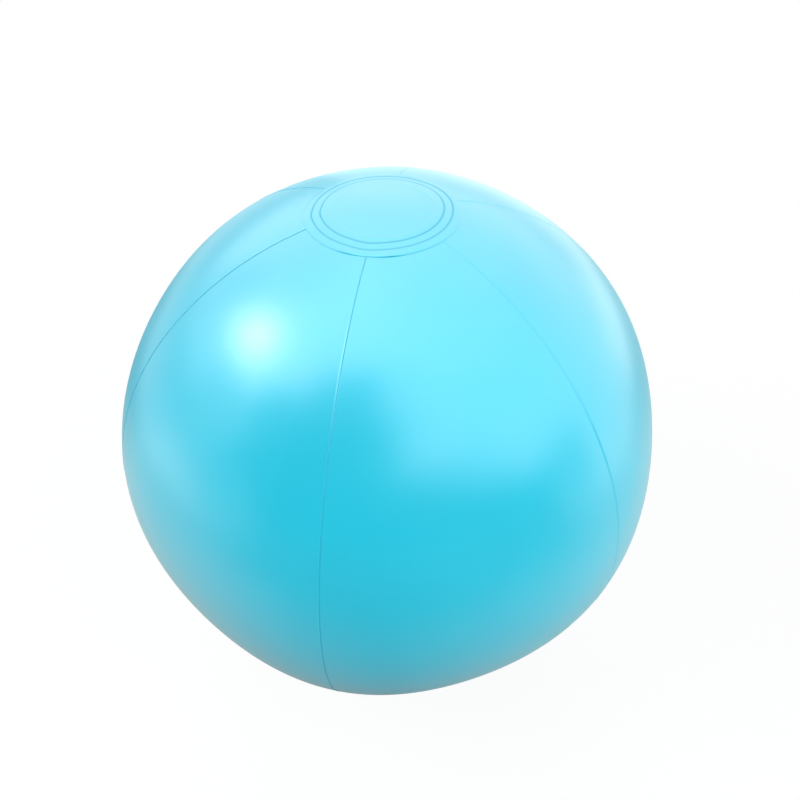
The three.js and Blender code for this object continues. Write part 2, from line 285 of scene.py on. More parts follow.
def calendered_pvc_film():
    """Soft PVC film, rolled smooth: opaque colour under a satin skin with a faint grain.

    The colour drifts a little over some 60 mm, and the gloss in patches of some 12 mm. Along a weld line
    the
    film is matt and deeper in colour: partly the pressed film's own colour, partly painted shade of the
    grooves and of the seam's foot. The grain of the rollers is about 0.3 mm and is drawn at 0.9 mm so that
    it shows at all.
    """
    material, tree = new_material("calendered_pvc_film")
    place = add_node(tree, "ShaderNodeTexCoord").outputs["Object"]
    drift = add_node(tree, "ShaderNodeTexNoise", {"Scale": 1 / (60 * MM), "Detail": 2.0}, Vector=place)
    tint = add_node(tree, "ShaderNodeValToRGB", Fac=drift.outputs["Fac"])
    tint.color_ramp.elements[0].position = 0.3
    tint.color_ramp.elements[0].color = linear("#1EC7E4")
    tint.color_ramp.elements[1].position = 0.7
    tint.color_ramp.elements[1].color = linear("#23CBE8")
    # The weld share darkens the colour: the weld's own deeper colour and painted shade in its grooves and
    # at the seam's foot
    weld = add_node(tree, "ShaderNodeAttribute", {"attribute_name": "weld"})
    colour = add_node(
        tree, "ShaderNodeMix", {"data_type": "RGBA", "7": linear("#0EAACC")},
        **{"0": weld.outputs["Fac"], "6": tint.outputs["Color"]})
    patches = add_node(tree, "ShaderNodeTexNoise", {"Scale": 1 / (12 * MM), "Detail": 3.0}, Vector=place)
    satin = add_node(
        tree, "ShaderNodeMapRange", {"To Min": 0.285, "To Max": 0.325}, Value=patches.outputs["Fac"])
    gloss = add_node(
        tree, "ShaderNodeMix", {"3": 1.0}, **{"0": weld.outputs["Fac"], "2": satin.outputs["Result"]})
    grain = add_node(tree, "ShaderNodeTexNoise", {"Scale": 1 / (0.9 * MM), "Detail": 2.0}, Vector=place)
    bump = add_node(
        tree, "ShaderNodeBump", {"Strength": 0.03, "Distance": 0.05 * MM}, Height=grain.outputs["Fac"])
    shader = add_node(
        tree, "ShaderNodeBsdfPrincipled", {"IOR": 1.53, "Specular IOR Level": 1.0},
        Base_Color=colour.outputs[2], Roughness=gloss.outputs[0], Normal=bump.outputs["Normal"])
    add_node(tree, "ShaderNodeOutputMaterial", Surface=shader.outputs["BSDF"])
    return material


def moulded_soft_pvc():
    """Injection-moulded soft PVC: milky, slightly see-into, smooth with a faint mould texture.

    The milkiness clouds over some 3 mm, the gloss over 1.5 mm, and the mould's spark-eroded texture is
    about 0.25 mm.
    """
    material, tree = new_material("moulded_soft_pvc")
    place = add_node(tree, "ShaderNodeTexCoord").outputs["Object"]
    cloud = add_node(tree, "ShaderNodeTexNoise", {"Scale": 1 / (3 * MM), "Detail": 2.0}, Vector=place)
    tint = add_node(tree, "ShaderNodeValToRGB", Fac=cloud.outputs["Fac"])
    tint.color_ramp.elements[0].position = 0.3
    tint.color_ramp.elements[0].color = linear("#CFE0E0")
    tint.color_ramp.elements[1].position = 0.7
    tint.color_ramp.elements[1].color = linear("#E4EEEC")
    smear = add_node(tree, "ShaderNodeTexNoise", {"Scale": 1 / (1.5 * MM), "Detail": 2.0}, Vector=place)
    gloss = add_node(
        tree, "ShaderNodeMapRange", {"To Min": 0.28, "To Max": 0.40}, Value=smear.outputs["Fac"])
    texture = add_node(tree, "ShaderNodeTexNoise", {"Scale": 1 / (0.25 * MM), "Detail": 2.0}, Vector=place)
    bump = add_node(
        tree, "ShaderNodeBump", {"Strength": 0.12, "Distance": 0.02 * MM}, Height=texture.outputs["Fac"])
    shader = add_node(
        tree, "ShaderNodeBsdfPrincipled",
        {
            "IOR": 1.53, "Subsurface Weight": 0.25,
            "Subsurface Scale": 1.5 * MM, "Subsurface Radius": (1, 1, 1),
        },
        Base_Color=tint.outputs["Color"], Roughness=gloss.outputs["Result"], Normal=bump.outputs["Normal"])
    add_node(tree, "ShaderNodeOutputMaterial", Surface=shader.outputs["BSDF"])
    return material


FILM_PVC = calendered_pvc_film()
VALVE_PVC = moulded_soft_pvc()


# Panels

ROWS = 161
MIDDLE_COLUMNS = 41
END_LATITUDE = math.acos(PANEL_END_RADIUS / EQUATOR)
TUCK = -(FILM + LAY)
TUCKED_SIDE = np.array([
    -5.0, -2.2, -1.5, -1.0, -0.6, -0.3, 0.0, 0.08, 0.15, 0.23, 0.32, 0.41, 0.52, 0.7, 1.0, 1.5, 2.2, 3.4,
]) * MM
LAPPED_SIDE = np.array([
    3.4, 2.2, 1.5, 1.2, 1.0, 0.85, 0.7, 0.58, 0.47, 0.36, 0.27, 0.19, 0.12, 0.07, 0.035, 0.01, 0.0,
]) * MM
VALVE_ROW = ROWS // 2
VALVE_COLUMN = len(TUCKED_SIDE) - 1 + MIDDLE_COLUMNS // 2
BLOCK_ROWS = 7  # faces left out above and below the valve's axis
BLOCK_COLUMNS = 5  # and to each side of it
VALVE_RINGS = np.array([
    18.0, 17.6, 17.4, 17.2, 17.0, 16.8, 16.6, 16.2, 15.0, 13.6, 12.9, 12.6, 12.4, 12.2, 12.0, 11.8, 11.5,
    11.2, 11.06, 11.0,
]) * MM


def panel_stations(latitude):
    """Azimuths from the panel's middle, heights of both faces and weld shares across a panel.

    The tucked strip lies under the neighbour, close below its thinned edge, and comes up to the surface
    beyond the seam's foot. The lapped side thins towards its edge, rises to a bead and ends in an edge
    rounded over EDGE_ROUND. The weld line lies along both; its share darkens the colour, as the weld's own
    deeper colour and as painted shade at the seam's foot and edge. latitude is a column, and each of its
    rows has its own azimuths.
    """
    radius = EQUATOR * np.cos(latitude)
    tucked = -HALF_PANEL + TUCKED_SIDE / radius
    lapped = HALF_PANEL - LAPPED_SIDE / radius
    share = np.linspace(0, 1, MIDDLE_COLUMNS)
    middle = tucked[:, -1:] * (1 - share) + lapped[:, :1] * share
    azimuth = np.concatenate([tucked, middle[:, 1:-1], lapped], axis=1)
    rise = smooth_step(TUCKED_SIDE, SEAM_FOOT, SEAM_FOOT + SEAM_RAMP)
    inset = np.clip(EDGE_ROUND - LAPPED_SIDE, 0, EDGE_ROUND)
    droop = EDGE_ROUND - np.sqrt(EDGE_ROUND ** 2 - inset ** 2)
    plain = np.zeros(MIDDLE_COLUMNS - 2)
    bead = SEAM_BEAD * (1 - smooth_step(LAPPED_SIDE, *SEAM_BEAD_ENDS))
    pressed = SEAM_PRESS * (1 - smooth_step(LAPPED_SIDE, *SEAM_PRESS_ENDS))
    below = TUCK + SEAM_PRESS * (1 - smooth_step(-TUCKED_SIDE, *SEAM_PRESS_ENDS))
    face = np.concatenate([below * (1 - rise), plain, bead - droop])
    under = np.concatenate([below * (1 - rise), plain, pressed]) - FILM
    # Weld line at the seam: the weld's own colour and painted shade at the foot and along the lapped edge
    tucked_line = bell(TUCKED_SIDE - SEAM_FOOT, SEAM_WELD_AND_SHADE_WIDTHS[0])
    lapped_line = bell(LAPPED_SIDE, SEAM_WELD_AND_SHADE_WIDTHS[1])
    weld = SEAM_WELD_AND_SHADE * np.concatenate([tucked_line, plain, lapped_line])
    return azimuth, face, under, weld


def round_valve(radius, angle):
    """Azimuth and latitude of the points at x = r cos(angle), z = r sin(angle) from the valve's axis."""
    latitude = np.arcsin(radius * np.sin(angle) / POLE)
    across = EQUATOR * np.cos(latitude) - SEAM_WAVE * np.cos(latitude) ** 3
    return math.pi - np.arcsin(radius * np.cos(angle) / across), latitude


def cut_valve_hole(grid, index):
    """The rear panel's grid with a block of faces left out and rings from there to the valve's hole.

    Each ring has the angles of the block's border, at x = r cos(angle) and z = r sin(angle) from the
    valve's axis. The film sinks between the two borders of the flange's weld, which are grooves, darker
    in colour by the weld's own colour and by painted shade.
    """
    azimuth, latitude = grid[:2]
    rows = slice(VALVE_ROW - BLOCK_ROWS, VALVE_ROW + BLOCK_ROWS + 1)
    columns = slice(VALVE_COLUMN - BLOCK_COLUMNS, VALVE_COLUMN + BLOCK_COLUMNS + 1)
    kept = np.ones((index.shape[0] - 1, index.shape[1] - 1), bool)
    kept[rows.start:rows.stop - 1, columns.start:columns.stop - 1] = False
    border = border_loop(index[rows, columns])
    edge = skin(azimuth[border], latitude[border], 0)
    angle = np.arctan2(edge[:, 2] - CENTRE_Z, edge[:, 0])
    radius = VALVE_RINGS[:, None]
    ring_azimuth, ring_latitude = round_valve(radius, angle)
    outer_line = bell(radius - FLANGE_WELD_RADIUS, WELD_GROOVE_WIDTH / 2)
    inner_line = bell(radius - HOLE_WELD_RADIUS, HOLE_GROOVE_WIDTH / 2)
    lines = outer_line + inner_line
    inside = 1 - smooth_step(radius, FLANGE_WELD_RADIUS - FLANGE_WELD_RAMP, FLANGE_WELD_RADIUS)
    face = -WELD_SINK * inside - FLANGE_GROOVE * lines
    # Weld share of the rings: the weld's own colour and painted shade in the grooves
    values = (ring_azimuth, ring_latitude, face, face - FILM, FLANGE_WELD_AND_SHADE * lines)
    rings = numbered(ring_azimuth.shape, index.size)
    faces = [quads(index)[kept.ravel()], quads(np.concatenate([border[None], rings]), closed=True)]
    grid = [
        np.concatenate([old, np.broadcast_to(new, rings.shape).ravel()])
        for old, new in zip(grid, values)
    ]
    return grid, np.concatenate(faces), rings[-1, ::-1]


def make_panel(number, name):
    """One panel: the skin over the grid of its latitudes and stations, a film thick."""
    latitude = np.linspace(-END_LATITUDE, END_LATITUDE, ROWS)[:, None]
    azimuth, face, under, weld = panel_stations(latitude)
    azimuth = azimuth + 2 * HALF_PANEL * number
    index = numbered(azimuth.shape)
    grid = [values.ravel() for values in np.broadcast_arrays(azimuth, latitude, face, under, weld)]
    faces = quads(index)
    rims = [border_loop(index)]
    if name == VALVE_PANEL:
        grid, faces, hole_rim = cut_valve_hole(grid, index)
        rims.append(hole_rim)
    azimuth, latitude, face, under, weld = grid
    outside = skin(azimuth, latitude, face)
    inside = skin(azimuth, latitude, under)
    wear(film_piece(name + "_film", outside, inside, faces, rims, weld), "ball", name)


for panel_number, panel_name in enumerate(PANELS):
    make_panel(panel_number, panel_name)


# End caps

CAP_AROUND = 288


def cap_rings():
    """Radii of the cap's rings, close together at the weld's two grooves and at the free edge."""
    fine = np.linspace(-0.9, 0.9, 15) * MM
    edge = CAP_RADIUS - np.array([2.0, 1.5, 1.1, 0.8, 0.5, 0.3, 0.2, 0.12, 0.06, 0.02, 0.0]) * MM
    middle = np.linspace(1.5, 22.5, 8) * MM
    over_panel_ends = np.linspace(23.0, 26.5, 8) * MM
    between = np.array([30.0, 30.6, 31.2]) * MM
    plain = np.concatenate([middle, over_panel_ends, between])
    return np.sort(np.concatenate([plain, *(ring + fine for ring in WELD_RINGS), edge]))


def cap_form(radius, azimuth, from_pole, sag):
    """Heights of the cap's two faces above the panels, and its weld share.

    It lies lower by sag inside the ring of panel ends, sinks along the weld band, has a groove at each
    border of the band, thins towards its cut edge, and stands off at its loose spots. Its underside is a
    film below its face, but never lower than just above the panels. Its weld share darkens the colour in
    the grooves, with the weld's own deeper colour and with painted shade.
    """
    inner, outer = WELD_RINGS
    inside = 1 - smooth_step(from_pole, *CAP_SAG_ENDS)
    sinking = smooth_step(radius, inner, inner + WELD_RAMP)
    rising = smooth_step(radius, outer - WELD_RAMP, outer)
    band = sinking * (1 - rising)
    lines = sum(bell(radius - ring, WELD_GROOVE_WIDTH / 2) for ring in WELD_RINGS)
    lift = spots(azimuth, LOOSE_SPOTS) * smooth_step(radius, outer + LOOSE_FROM, CAP_RADIUS) ** 2
    thin = CAP_THIN * smooth_step(radius, CAP_RADIUS - CAP_THIN_WIDTH, CAP_RADIUS)
    inset = np.clip(EDGE_ROUND - (CAP_RADIUS - radius), 0, EDGE_ROUND)
    droop = CAP_EDGE_DROOP * (EDGE_ROUND - np.sqrt(EDGE_ROUND ** 2 - inset ** 2))
    face = FILM + LAY - sag * inside - WELD_SINK * band - WELD_GROOVE * lines - thin + lift
    under = np.maximum(face - FILM + thin, LAY / 2 - sag * inside)
    # Weld share: the weld's own colour and painted shade in the rings' grooves
    return face - droop, under, RING_WELD_AND_SHADE * lines + 0 * azimuth


def make_cap(node, pole, shift, sag):
    """An end cap: rings about a point near the pole, at cap_form above the skin; pole is 1 or -1.

    Near the weld the rings run wide at the wide spots, by the same amount for both of its borders.
    """
    rings = cap_rings()[:, None]
    angle = np.linspace(0, 2 * math.pi, CAP_AROUND, endpoint=False)[None, :]
    near_weld = smooth_step(rings, *WIDE_FROM) * (1 - smooth_step(rings, *WIDE_TO))
    radius = rings + near_weld * spots(angle, WIDE_SPOTS)
    x = shift[0] + radius * np.sin(angle)
    y = shift[1] - radius * np.cos(angle)
    from_pole = np.hypot(x, y)
    azimuth = np.arctan2(x, -y)
    latitude = pole * np.arccos(from_pole / EQUATOR)
    face, under, weld = cap_form(rings, angle, from_pole, sag)
    middle = skin(0.0, pole * math.pi / 2, np.array([[face[0, 0]], [under[0, 0]]]))
    outside = np.concatenate([middle[0], skin(azimuth, latitude, face).reshape(-1, 3)])
    inside = np.concatenate([middle[1], skin(azimuth, latitude, under).reshape(-1, 3)])
    index = numbered(face.shape, start=1)
    faces = np.concatenate([fan(0, index[0]), quads(index, closed=True)[:, ::-1]])
    weld = np.concatenate([[0.0], weld.ravel()])
    rim = index[-1]
    if pole < 0:
        faces = faces[:, ::-1]
        rim = rim[::-1]
    wear(film_piece(node + "_film", outside, inside, faces, [rim], weld), "ball", node)


make_cap("top_end_cap", 1, TOP_CAP_SHIFT, CAP_SAG)
make_cap("bottom_end_cap", -1, (0.0, 0.0), 0.0)


# Valve pieces, worked out about the valve's axis in metres outwards of its seat and up from the axis

AROUND = 144
STRIP_AROUND = 32
TURN = np.linspace(0, 2 * math.pi, AROUND, endpoint=False)
ANGLES = TURN + 0.3 * np.sin(2 * TURN)  # anticlockwise from outside, closer together at top and bottom


def rounded_oblong(angle, half_width, half_height, power):
    """Radius of a rounded oblong: (|cos a| / half_width)^p + (|sin a| / half_height)^p = radius^-p."""
    across = (np.abs(np.cos(angle)) / half_width) ** power
    along = (np.abs(np.sin(angle)) / half_height) ** power
    return (across + along) ** (-1 / power)


def parabola(start, bend, end, steps):
    """Points along (1-t)^2 start + 2t(1-t) bend + t^2 end."""
    t = np.linspace(0, 1, steps)[:, None]
    return (1 - t) ** 2 * start + 2 * t * (1 - t) * bend + t ** 2 * end


def directions(path):
    """Unit vectors along a path of points."""
    along = np.gradient(path, axis=0)
    return along / np.linalg.norm(along, axis=1, keepdims=True)


def soften(corners, reach, steps=5):
    """A closed profile whose corners are rounded by parabolas that start reach before each corner.

    Each curve starts and ends on the two sides of its corner and bends towards it. The ends lie reach away
    from the corner, or at 0.45 of the side if that is nearer.
    """
    corner = np.asarray(corners, float)
    sides = np.stack([np.roll(corner, 1, axis=0), np.roll(corner, -1, axis=0)]) - corner
    length = np.linalg.norm(sides, axis=-1, keepdims=True)
    start, end = (corner + sides * np.minimum(reach / length, 0.45))[:, :, None]
    return parabola(start, corner[:, None], end, steps).reshape(-1, 2)


def capped_faces(index):
    """Faces of a grid whose first and last rows are each one point, the first at the outer end."""
    first = fan(index[0, 0], index[1])
    last = fan(index[-1, 0], index[-2, ::-1])
    return np.concatenate([first, quads(index[1:-1], closed=True)[:, ::-1], last])


def tube_faces(index):
    """Faces of a grid that closes on itself both ways."""
    return quads(np.concatenate([index, index[:1]]), closed=True)[:, ::-1]


def turned(profile, outline=0.0, centre=(0.0, 0.0)):
    """Points and faces of a profile carried round an axis along Y.

    The profile's rows are radius, height and follow: at each angle the radius is
    radius + follow * outline. It runs from the outer face down the outside and back. If it starts on the
    axis it also ends there, and otherwise it closes on itself.
    """
    radius, height, follow = np.asarray(profile, float).T[:, :, None]
    radius = radius + follow * outline
    x = centre[0] - radius * np.cos(ANGLES)
    z = CENTRE_Z + centre[1] + radius * np.sin(ANGLES)
    x, y, z = np.broadcast_arrays(x, SEAT_Y + height, z)
    index = numbered(x.shape)
    faces = capped_faces(index) if profile[0][0] == 0 else tube_faces(index)
    return np.stack([x, y, z], axis=-1).reshape(-1, 3), faces


def strip(path, half_width, half_thickness):
    """Points and faces of a flat strip along a path of points outwards and up.

    Its section is a rounded oblong, along X and along the path's normal (-dz, dy).
    """
    along = directions(path)
    rows = np.concatenate([[0], np.arange(len(path)), [len(path) - 1]])
    size = np.ones((len(rows), 1))
    size[[0, -1]] = 0
    angle = np.linspace(0, 2 * math.pi, STRIP_AROUND, endpoint=False)
    radius = size * rounded_oblong(angle, half_width, half_thickness, power=4)
    out = radius * np.sin(angle)
    x = radius * np.cos(angle)
    y = SEAT_Y + path[rows, :1] - out * along[rows, 1:]
    z = CENTRE_Z + path[rows, 1:] + out * along[rows, :1]
    return np.stack([x, y, z], axis=-1).reshape(-1, 3), capped_faces(numbered(x.shape))


def valve_piece(name, *shells):
    """A piece of moulded PVC from closed shells that run into each other."""
    starts = np.cumsum([0] + [len(points) for points, faces in shells])
    points = np.concatenate([points for points, faces in shells])
    faces = np.concatenate([faces + start for (points, faces), start in zip(shells, starts)])
    return new_piece(name, points, faces, VALVE_PVC, sharp_deg=60)


def round_rows(profile):
    """A profile of radius and height as the rows of a plain turned piece."""
    profile = np.asarray(profile, float)
    return np.concatenate([profile, np.zeros((len(profile), 1))], axis=1)


def make_flange():
    """The welding flange: a ring that lies along the inside of the panel, thinner towards its outer edge.

    Its profile is of radius from the valve's axis and height above the skin.
    """
    corners = np.array([(10.0, -0.56), (17.0, -0.56), (17.0, -1.5), (10.0, -2.0)]) * MM
    radius, height = soften(corners, reach=0.3 * MM).T[:, :, None]
    points = skin(*round_valve(radius, math.pi - ANGLES), height)
    faces = tube_faces(numbered(points.shape[:2]))
    flange = valve_piece("valve_flange_ring", (points.reshape(-1, 3), faces))
    wear(flange, "ball", "valve_flange")


def make_boot():
    """The thin funnel between flange and stem, drawn in one pose, though the real one turns over as the
    stem moves.

    Its middle line is radius = 6.28 + 3.82 (1 - t)^2, height = -1.3 - 11.6 t^1.15 in millimetres, with half
    of the wall of 0.6 mm on each side of it.
    """
    t = np.linspace(0, 1, 33)
    line = np.stack([6.28 + 3.82 * (1 - t) ** 2, -1.3 - 11.6 * t ** 1.15], axis=1) * MM
    along = directions(line)
    side = 0.3 * MM * np.stack([-along[:, 1], along[:, 0]], axis=1)
    wall = np.concatenate([line + side, (line - side)[::-1]])
    boot = valve_piece("valve_boot_funnel", turned(round_rows(wall)))
    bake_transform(boot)
    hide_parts("valve_boot")


def make_stem():
    """The valve's tube with its rim bead, its inner collar and the lug for the stopper's hinge."""
    corners = np.array([
        (5.4, 0.5), (5.4, -0.7), (4.8, -1.2), (4.8, -11.9),
        (6.0, -12.3), (6.0, -13.5), (3.6, -13.5), (3.6, 0.5),
    ]) * MM
    tube = turned(round_rows(soften(corners, reach=0.35 * MM)))
    lug_rows = np.array([
        (0, 0.5, 0), (-0.9, 0.5, 1), (-0.25, 0.5, 1), (-0.07, 0.43, 1), (0, 0.25, 1),
        (0, -0.25, 1), (-0.07, -0.43, 1), (-0.25, -0.5, 1), (-0.9, -0.5, 1), (0, -0.5, 0),
    ]) * (MM, MM, 1.0)
    lug_outline = rounded_oblong(ANGLES, half_width=2.5 * MM, half_height=1.25 * MM, power=6)
    lug = turned(lug_rows, lug_outline, centre=(0.0, 5.95 * MM))
    wear(valve_piece("valve_stem_tube", tube, lug), "valve_stem", "valve_stem")


def stopper_profile():
    """Rows of the stopper from the middle of its head to the end of its plug, in millimetres.

    A domed button on a plate that follows the strap and the pull tab, and a plug whose radius is that of
    a circle about the hinge line less a clearance: sqrt(10.75^2 - h^2) - 7.4 at h below the hinge.
    """
    button = [(0, 2.2), (1.4, 2.18), (2.8, 2.1), (3.9, 1.97), (4.6, 1.82), (4.95, 1.68), (5.1, 1.58)]
    f = np.linspace(0.04, 1, 24)
    plate = np.stack([5.1 + 0.4 * f, np.full_like(f, 1.56), f], axis=1)
    edge = [(5.57, 1.5, 1), (5.6, 1.38, 1), (5.6, 0.98, 1), (5.57, 0.86, 1), (5.5, 0.8, 1)]
    f = np.linspace(1, 0, 8)
    underside = np.stack([4.2 + 1.2 * f, np.full_like(f, 0.8), f], axis=1)
    h = np.linspace(0.1, 4.6, 12)
    plug = np.stack([np.sqrt(10.75 ** 2 - h ** 2) - 7.4, 0.65 - h], axis=1)
    neck = [(3.75, 0.8), (3.5, 0.76), (3.38, 0.65)]
    end = [(2.2, -4.1), (1.95, -4.2), (1.0, -4.2), (0, -4.2)]
    return np.concatenate([
        round_rows(button), plate, edge, underside, round_rows(neck), round_rows(plug), round_rows(end),
    ])


def make_stopper():
    """The stopper: its profile carried round, with three grip ridges across the pull tab.

    At d below their start the ridges stand out by RIDGE_HEIGHT (1 - cos(2 pi d / RIDGE_PITCH)) / 2.
    """
    strap = rounded_oblong(ANGLES, half_width=2.0 * MM, half_height=7.2 * MM, power=8)
    tab = rounded_oblong(ANGLES, half_width=2.4 * MM, half_height=8.6 * MM, power=5)
    outline = np.maximum(np.where(np.sin(ANGLES) > 0, strap, tab) - PLATE_RADIUS, 0)
    points, faces = turned(stopper_profile() * (MM, MM, 1.0), outline)
    below = CENTRE_Z - RIDGE_START - points[:, 2]
    on_tab = (points[:, 1] > SEAT_Y + PLATE_FACE) & (below > 0) & (below < RIDGES * RIDGE_PITCH)
    ridge = RIDGE_HEIGHT * (1 - np.cos(2 * math.pi * below / RIDGE_PITCH)) / 2
    points[:, 1] += np.where(on_tab, ridge, 0)
    wear(valve_piece("stopper_plug", (points, faces)), "stopper", "stopper")


def make_flap():
    """The check flap: a thin disc with a tab towards its hinge."""
    rows = np.array([
        (0, -13.8, 0), (2.0, -13.8, 0), (3.6, -13.8, 0), (4.0, -13.8, 0.3), (4.4, -13.8, 1),
        (4.48, -13.85, 1), (4.5, -13.95, 1), (4.5, -14.15, 1), (4.48, -14.25, 1),
        (4.4, -14.3, 1), (4.0, -14.3, 0.3), (3.6, -14.3, 0), (2.0, -14.3, 0), (0, -14.3, 0),
    ]) * (MM, MM, 1.0)
    tab = rounded_oblong(ANGLES, half_width=1.5 * MM, half_height=5.1 * MM, power=8)
    outline = np.where(np.sin(ANGLES) > 0, np.maximum(tab - FLAP_RADIUS, 0), 0)
    wear(valve_piece("check_flap_disc", turned(rows, outline)), "check_flap", "check_flap")


def make_hinge_webs():
    """The living hinges: thin strips in one bent pose, from the stem to the stopper and from the stem to
    the flap.

    The first bows up along a half circle and a little more, and the second along a parabola.
    """
    s = np.linspace(-0.35, math.pi + 0.35, 21)
    bow = np.stack([0.6 - 0.6 * np.cos(s), 7.1 + 0.62 * np.sin(s)], axis=1) * MM
    web = valve_piece("stopper_hinge_web", strip(bow, 1.9 * MM, 0.2 * MM))
    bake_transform(web)
    start, bend, end = np.array([(-13.2, 5.65), (-14.15, 5.95), (-14.05, 4.9)]) * MM
    bow = parabola(start, bend, end, steps=17)
    web = valve_piece("check_flap_hinge_web", strip(bow, 1.4 * MM, 0.18 * MM))
    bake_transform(web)


make_flange()
make_boot()
make_stem()
make_stopper()
make_flap()
make_hinge_webs()


# Camera, at the photograph's place: a 35 mm lens three ball radii from the middle

CAMERA_AZIMUTH = math.radians(-17.08)
CAMERA_ELEVATION = math.radians(46.09)
CAMERA_ROLL = math.radians(-1.61)
CAMERA_DISTANCE = 3.092 * EQUATOR
FRAME_PIXELS = 800
BALL_PIXEL = (389.26, 429.35)
FOCAL_PIXELS = 776.9
SENSOR = 36.0


def direction(azimuth, elevation):
    """The unit vector at an azimuth from -Y towards +X and an elevation, both in radians."""
    return Vector((
        math.sin(azimuth) * math.cos(elevation),
        -math.cos(azimuth) * math.cos(elevation),
        math.sin(elevation),
    ))


def make_camera():
    """Looks at the ball's middle, with a small shift that puts the middle on its pixel."""
    data = bpy.data.cameras.new("camera")
    data.sensor_width = SENSOR
    data.lens = SENSOR * FOCAL_PIXELS / FRAME_PIXELS
    data.clip_start = 0.01
    data.shift_x = 0.5 - BALL_PIXEL[0] / FRAME_PIXELS
    data.shift_y = BALL_PIXEL[1] / FRAME_PIXELS - 0.5
    camera = bpy.data.objects.new("camera", data)
    bpy.context.scene.collection.objects.link(camera)
    back = direction(CAMERA_AZIMUTH, CAMERA_ELEVATION)
    right = Vector((math.cos(CAMERA_AZIMUTH), math.sin(CAMERA_AZIMUTH), 0))
    right.rotate(Matrix.Rotation(CAMERA_ROLL, 3, back))
    turn = Matrix((right, back.cross(right), back)).transposed().to_4x4()
    eye = Vector((0, 0, CENTRE_Z)) + CAMERA_DISTANCE * back
    camera.matrix_world = Matrix.Translation(eye) @ turn
    bpy.context.scene.camera = camera


make_camera()


# Studio

EVEN_LIGHT = 0.22  # brightness of the world for the colour
ROOM = 0.7  # half the width of the room of soft boxes round the ball
CEILING = 0.8  # its height above the ball's middle
FLOOR_Z = 0.005 - CENTRE_Z  # the foot of its walls, just above the floor

# Soft boxes that only the gloss sees: two opposite corners, right, forward and up of the ball's middle as
# the camera stands, and brightness. They lie edge to edge, so that none shows through another.
SOFT_BOXES = {
    "ceiling_left": ((-ROOM, -0.38, CEILING), (-0.42, 0.15, CEILING), 3.6),
    "ceiling_middle": ((-0.42, -0.32, CEILING), (0.1, 0.15, CEILING), 3.3),
    "ceiling_left_back": ((-ROOM, 0.15, CEILING), (-0.2, ROOM, CEILING), 2.6),
    "ceiling_back": ((-0.2, 0.15, CEILING), (0.1, ROOM, CEILING), 3.1),
    "ceiling": ((0.1, -0.32, CEILING), (ROOM, ROOM, CEILING), 2.9),
    "ceiling_front": ((-0.02, -0.62, CEILING), (ROOM, -0.32, CEILING), 2.4),
    "ceiling_right": ((0.14, -1.35, CEILING), (ROOM, -0.62, CEILING), 2.0),
    "right_wall_far": ((ROOM, -1.15, 0.4), (ROOM, -0.72, CEILING), 1.8),
    "right_wall_high": ((ROOM, -0.72, 0.25), (ROOM, ROOM, CEILING), 2.5),
    "right_wall_back": ((ROOM, 0.3, FLOOR_Z), (ROOM, ROOM, 0.25), 2.0),
    "right_wall_front": ((ROOM, -0.2, 0.05), (ROOM, 0.3, 0.25), 2.1),
    "right_wall_low": ((ROOM, -0.2, FLOOR_Z), (ROOM, 0.3, 0.05), 1.15),
    "right_wall_near": ((ROOM, -0.48, FLOOR_Z), (ROOM, -0.2, 0.25), 0.8),
    "back_wall_high": ((-ROOM, ROOM, 0.25), (ROOM, ROOM, CEILING), 2.6),
    "back_wall_low": ((-0.1, ROOM, FLOOR_Z), (ROOM, ROOM, 0.25), 1.4),
    "back_wall_left": ((-ROOM, ROOM, FLOOR_Z), (-0.1, ROOM, 0.25), 0.7),
    "left_wall_top": ((-ROOM, -0.25, 0.5), (-ROOM, 0.3, CEILING), 4.2),
    "left_wall_high": ((-ROOM, 0.3, 0.25), (-ROOM, ROOM, CEILING), 1.8),
    "left_wall_middle": ((-ROOM, 0.0, 0.25), (-ROOM, 0.3, 0.5), 1.9),
    "left_wall_near": ((-ROOM, -0.32, 0.25), (-ROOM, 0.0, 0.5), 1.3),
    "left_wall_back": ((-ROOM, 0.2, FLOOR_Z), (-ROOM, ROOM, 0.25), 0.9),
    "left_wall_front": ((-ROOM, -0.25, FLOOR_Z), (-ROOM, 0.2, 0.25), 0.9),
    "left_wall_low": ((-ROOM, -0.55, FLOOR_Z), (-ROOM, -0.25, 0.2), 0.6),
}

# Lamps that only light the colour: degrees from the camera's side of the ball towards the right, degrees
# above the ball's middle, and brightness
COLOUR_LAMPS = {
    "front": (4, 35, 3.7),
    "right": (68, 12, 3.5),
    "left": (-88, 30, 3.4),
    "back": (180, 6, 6.5),
}
COLOUR_LAMP_DISTANCE = 2.0
COLOUR_LAMP_SIZE = (1.6, 1.6)

# The round lamp of the highlight, seen only in the gloss: right, forward and up of the ball's middle
KEY_PLACE = (-1.13, 0.13, 1.11)
KEY_SIZE = (0.40, 0.40)
KEY_BRIGHTNESS = 10.0

# The floor, with distances forward of the ball's middle as the camera stands, or away from it
FLOOR_REACH = 6.0
FLOOR_WHITE = 0.88  # share of plain white that the camera sees in it near the ball
WHITENING = (0.3, 1.2)  # where it starts to get whiter and where it is wholly white
# The floor's shine is a painted glow, no lamp, seen only in reflections, where it paints the reflections
# along the ball's lower edge
PAINTED_SHINE = 1.1  # brightness of the floor's painted glow in reflections
SHINE_BEFORE = (-0.48, -0.18)  # where the painted glow comes up before the ball, and is full
SHINE_BEHIND = (0.08, 0.26)  # where it goes down again behind it
SHINE_FAR = (0.12, 0.45)  # its share behind the ball, on the left and on the right
SHINE_ASIDE = 0.3  # how far to the sides it is full
SHINE_IN_LINE = 0.25  # its share straight before and behind the ball


